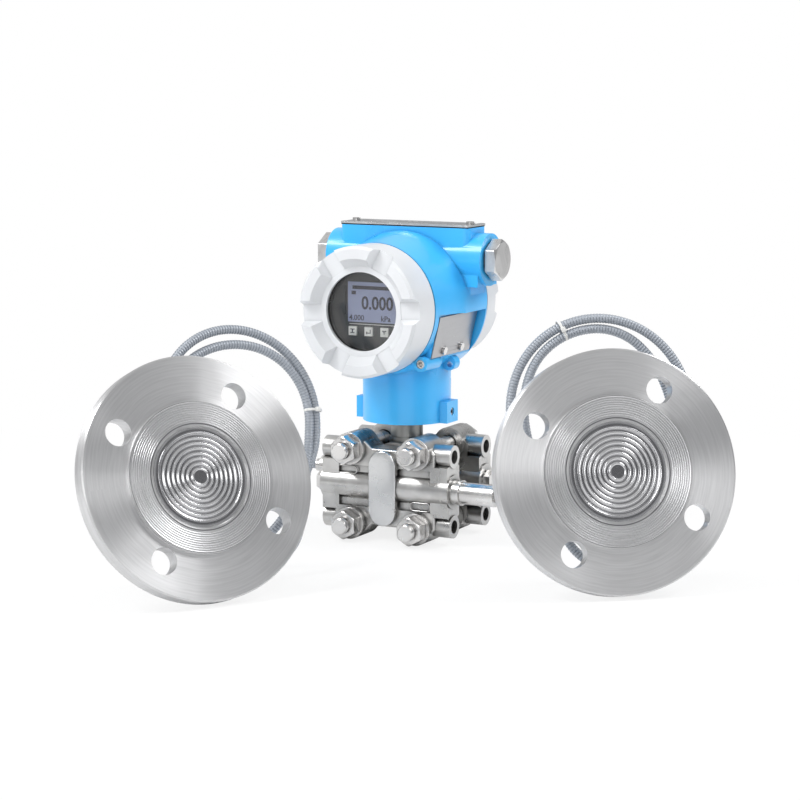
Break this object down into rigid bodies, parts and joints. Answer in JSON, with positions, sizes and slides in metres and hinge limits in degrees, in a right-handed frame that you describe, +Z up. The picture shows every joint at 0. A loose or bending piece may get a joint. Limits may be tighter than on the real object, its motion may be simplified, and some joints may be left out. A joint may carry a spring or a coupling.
{
  "type": "differential pressure transmitter",
  "caption": "Differential pressure transmitter with a display housing and remote flanged diaphragm seals on coiled armoured capillaries.",
  "frame": {"origin": "middle of the box of the rigid pieces, on the floor that the seals and the process flanges stand on", "axes": "+Z up along the housing's neck, -Y the way the display faces, +X to the display's right as seen from the front"},
  "size_m": [0.4339, 0.3858, 0.2354],
  "materials": {
    "blue_paint": "gloss",
    "white_paint": "satin",
    "bright_steel": "satin",
    "dark_steel": "satin",
    "cast_steel": "matte",
    "seal_steel": "satin",
    "membrane_steel": "satin",
    "armour": "satin",
    "dark_plastic": "matte",
    "terminal_plastic": "matte",
    "lcd": "satin",
    "window": "gloss",
    "key_plastic": "matte",
    "tie_plastic": "satin",
    "rubber": "matte"
  },
  "bodies": {
    "base": {"sensor_body": "dark_steel", "front_process_flange": "cast_steel", "rear_process_flange": "cast_steel", "cell_gaskets": "rubber", "flange_washers": "bright_steel", "front_stub_tube": "bright_steel", "rear_stub_tube": "bright_steel", "front_port_plug": "bright_steel", "rear_port_plug": "bright_steel", "bolt_upper_left": "bright_steel", "nut_upper_left": "bright_steel", "bolt_upper_right": "bright_steel", "nut_upper_right": "bright_steel", "bolt_lower_left": "bright_steel", "nut_lower_left": "bright_steel", "bolt_lower_right": "bright_steel", "nut_lower_right": "bright_steel", "left_seal_flange": "seal_steel", "left_membrane": "membrane_steel", "left_seal_neck": "seal_steel", "left_capillary_coil": "armour", "left_capillary_lead": "armour", "left_capillary_tail": "armour", "left_cable_tie": "tie_plastic", "right_seal_flange": "seal_steel", "right_membrane": "membrane_steel", "right_seal_neck": "seal_steel", "right_capillary_coil": "armour", "right_capillary_lead": "armour", "right_capillary_tail": "armour", "right_cable_tie": "tie_plastic"},
    "housing": {"housing": "blue_paint", "tag_plate": "bright_steel", "tag_screws": "bright_steel", "neck_set_screws": "bright_steel", "cover_lock_screw": "bright_steel", "display_module": "dark_plastic", "display_bezel": "dark_plastic", "lcd_panel": "lcd", "terminal_block": "terminal_plastic", "top_gasket": "rubber", "left_plate_screw": "bright_steel", "right_plate_screw": "bright_steel"},
    "front_cover_thread": {"front_cover_seal": "rubber"},
    "front_cover": {"front_cover": "white_paint", "window_glass": "window", "glass_ring": "bright_steel"},
    "rear_cover_thread": {"rear_cover_seal": "rubber"},
    "rear_cover": {"rear_cover": "white_paint"},
    "left_plug_thread": {"left_plug_washer": "rubber"},
    "left_plug": {"left_entry_plug": "bright_steel"},
    "right_plug_thread": {"right_plug_washer": "rubber"},
    "right_plug": {"right_entry_plug": "bright_steel"},
    "top_plate": {"top_plate": "bright_steel"},
    "left_button": {"left_push_button": "dark_plastic"},
    "right_button": {"right_push_button": "dark_plastic"},
    "key_1": {"display_key_1": "key_plastic"},
    "key_2": {"display_key_2": "key_plastic"},
    "key_3": {"display_key_3": "key_plastic"}
  },
  "joints": [
    {"name": "housing_turn", "type": "hinge", "parent": "base", "child": "housing", "pos_m": [-0.09452, 0.13189, 0.087], "axis": [0, 0, 1], "range_deg": [-180, 180]},
    {"name": "front_cover_travel", "type": "slide", "parent": "housing", "child": "front_cover_thread", "axis": [0, -1, 0], "range_m": [0, 0.0081]},
    {"name": "front_cover_turn", "type": "hinge", "parent": "front_cover_thread", "child": "front_cover", "pos_m": [-0.09452, 0.08389, 0.1743], "axis": [0, -1, 0], "range_deg": [0, 1440]},
    {"name": "rear_cover_travel", "type": "slide", "parent": "housing", "child": "rear_cover_thread", "axis": [0, 1, 0], "range_m": [0, 0.0081]},
    {"name": "rear_cover_turn", "type": "hinge", "parent": "rear_cover_thread", "child": "rear_cover", "pos_m": [-0.09452, 0.16989, 0.1743], "axis": [0, 1, 0], "range_deg": [0, 1440]},
    {"name": "left_plug_travel", "type": "slide", "parent": "housing", "child": "left_plug_thread", "axis": [-1, 0, 0], "range_m": [0, 0.0091]},
    {"name": "left_plug_turn", "type": "hinge", "parent": "left_plug_thread", "child": "left_plug", "pos_m": [-0.15851, 0.14189, 0.208], "axis": [-1, 0, 0], "range_deg": [0, 2160]},
    {"name": "right_plug_travel", "type": "slide", "parent": "housing", "child": "right_plug_thread", "axis": [1, 0, 0], "range_m": [0, 0.0091]},
    {"name": "right_plug_turn", "type": "hinge", "parent": "right_plug_thread", "child": "right_plug", "pos_m": [-0.03052, 0.14189, 0.208], "axis": [1, 0, 0], "range_deg": [0, 2160]},
    {"name": "top_plate_swing", "type": "hinge", "parent": "housing", "child": "top_plate", "pos_m": [-0.14202, 0.14089, 0.2322], "axis": [0, 0, -1], "range_deg": [0, 90]},
    {"name": "left_button_press", "type": "slide", "parent": "housing", "child": "left_button", "axis": [0, 0, -1], "range_m": [0, 0.0015], "stiffness_N_per_m": 400, "springref_m": -0.001},
    {"name": "right_button_press", "type": "slide", "parent": "housing", "child": "right_button", "axis": [0, 0, -1], "range_m": [0, 0.0015], "stiffness_N_per_m": 400, "springref_m": -0.001},
    {"name": "key_1_press", "type": "slide", "parent": "housing", "child": "key_1", "axis": [0, 1, 0], "range_m": [0, 0.0008], "stiffness_N_per_m": 400, "springref_m": -0.001},
    {"name": "key_2_press", "type": "slide", "parent": "housing", "child": "key_2", "axis": [0, 1, 0], "range_m": [0, 0.0008], "stiffness_N_per_m": 400, "springref_m": -0.001},
    {"name": "key_3_press", "type": "slide", "parent": "housing", "child": "key_3", "axis": [0, 1, 0], "range_m": [0, 0.0008], "stiffness_N_per_m": 400, "springref_m": -0.001}
  ],
  "couplings": [
    {"joint": "front_cover_travel", "follows": "front_cover_turn", "m_per_rad": 0.00031831},
    {"joint": "rear_cover_travel", "follows": "rear_cover_turn", "m_per_rad": 0.00031831},
    {"joint": "left_plug_travel", "follows": "left_plug_turn", "m_per_rad": 0.00023873},
    {"joint": "right_plug_travel", "follows": "right_plug_turn", "m_per_rad": 0.00023873}
  ]
}
